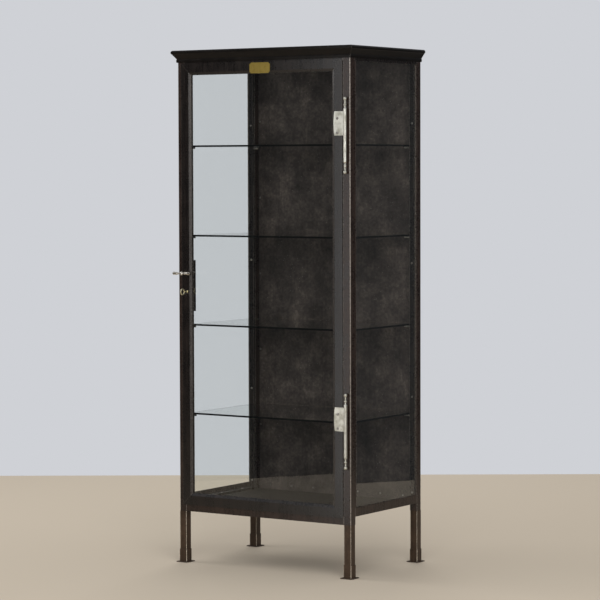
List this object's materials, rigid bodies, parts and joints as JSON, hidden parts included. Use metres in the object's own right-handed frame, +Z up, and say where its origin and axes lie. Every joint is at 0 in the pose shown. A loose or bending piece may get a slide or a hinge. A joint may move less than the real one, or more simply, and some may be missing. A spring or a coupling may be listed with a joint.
{
  "type": "medical cabinet",
  "caption": "Tall free-standing clinic cabinet of blackened steel and glass on square legs, with glass shelves behind a hinged glazed door with a T-handle lock and key.",
  "frame": {"origin": "bottom centre of the bounding box, on the floor", "axes": "+X to the viewer's right when facing the door, -Y out of the door's front, +Z up"},
  "size_m": [0.73, 0.503, 1.75],
  "materials": {
    "blackened_steel": "old dark patina, worn bright along the arrises",
    "mottled_sheet": "mottled grey-brown steel sheet",
    "nickel": "worn nickel plate",
    "bright_steel": "bare steel",
    "brass": "aged brass",
    "clear_glass": "clear float glass with greenish edges"
  },
  "bodies": {
    "carcass": {"back_sheet": "mottled_sheet", "bottom_rail_front": "blackened_steel", "bottom_rail_left": "blackened_steel", "bottom_rail_rear": "blackened_steel", "bottom_rail_right": "blackened_steel", "bottom_sheet": "mottled_sheet", "cornice_front": "blackened_steel", "cornice_left": "blackened_steel", "cornice_right": "blackened_steel", "foot_front_left": "blackened_steel", "foot_front_right": "blackened_steel", "foot_rear_left": "blackened_steel", "foot_rear_right": "blackened_steel", "glass_shelf_1": "clear_glass", "glass_shelf_2": "clear_glass", "glass_shelf_3": "clear_glass", "glass_shelf_4": "clear_glass", "glazing_bars_left": "blackened_steel", "glazing_bars_right": "blackened_steel", "hinge_frame_lower": "nickel", "hinge_frame_upper": "nickel", "hinge_pin_lower": "nickel", "hinge_pin_upper": "nickel", "leg_front_left": "blackened_steel", "leg_front_right": "blackened_steel", "leg_rear_left": "blackened_steel", "leg_rear_right": "blackened_steel", "post_front_left": "blackened_steel", "post_front_right": "blackened_steel", "post_rear_left": "blackened_steel", "post_rear_right": "blackened_steel", "shelf_pegs_left": "bright_steel", "shelf_pegs_right": "bright_steel", "side_glass_left": "clear_glass", "side_glass_right": "clear_glass", "strike_plate": "bright_steel", "top_rail_front": "blackened_steel", "top_rail_left": "blackened_steel", "top_rail_rear": "blackened_steel", "top_rail_right": "blackened_steel", "top_sheet": "mottled_sheet"},
    "door": {"door_glass": "clear_glass", "door_glazing_bars": "blackened_steel", "door_rail_bottom": "blackened_steel", "door_rail_top": "blackened_steel", "door_stile_hinge": "blackened_steel", "door_stile_lock": "blackened_steel", "handle_rosette": "nickel", "hinge_leaf_lower": "nickel", "hinge_leaf_upper": "nickel", "key_escutcheon": "blackened_steel", "lock_case": "blackened_steel", "lock_plate": "blackened_steel", "name_plate": "brass"},
    "handle": {"t_handle": "nickel", "lock_follower": "bright_steel"},
    "key": {"key": "brass"},
    "latch": {"latch_bolt": "bright_steel"},
    "bolt": {"dead_bolt": "bright_steel"}
  },
  "joints": [
    {"name": "door_hinge", "type": "hinge", "parent": "carcass", "child": "door", "pos_m": [0.3334, -0.216, 0.95], "axis": [0, 0, 1], "range_deg": [0, 180]},
    {"name": "handle_turn", "type": "hinge", "parent": "door", "child": "handle", "pos_m": [-0.307, -0.244, 0.994], "axis": [0, -1, 0], "range_deg": [0, 90]},
    {"name": "latch_slide", "type": "slide", "parent": "door", "child": "latch", "axis": [-1, 0, 0], "range_m": [0, 0.0099]},
    {"name": "key_turn", "type": "hinge", "parent": "door", "child": "key", "pos_m": [-0.307, -0.2403, 0.931], "axis": [0, -1, 0], "range_deg": [0, 360]},
    {"name": "bolt_slide", "type": "slide", "parent": "door", "child": "bolt", "axis": [-1, 0, 0], "range_m": [0, 0.009]}
  ],
  "couplings": [
    {"joint": "latch_slide", "follows": "handle_turn", "m_per_rad": 0.0063022},
    {"joint": "bolt_slide", "follows": "key_turn", "m_per_rad": 0.0014323}
  ]
}
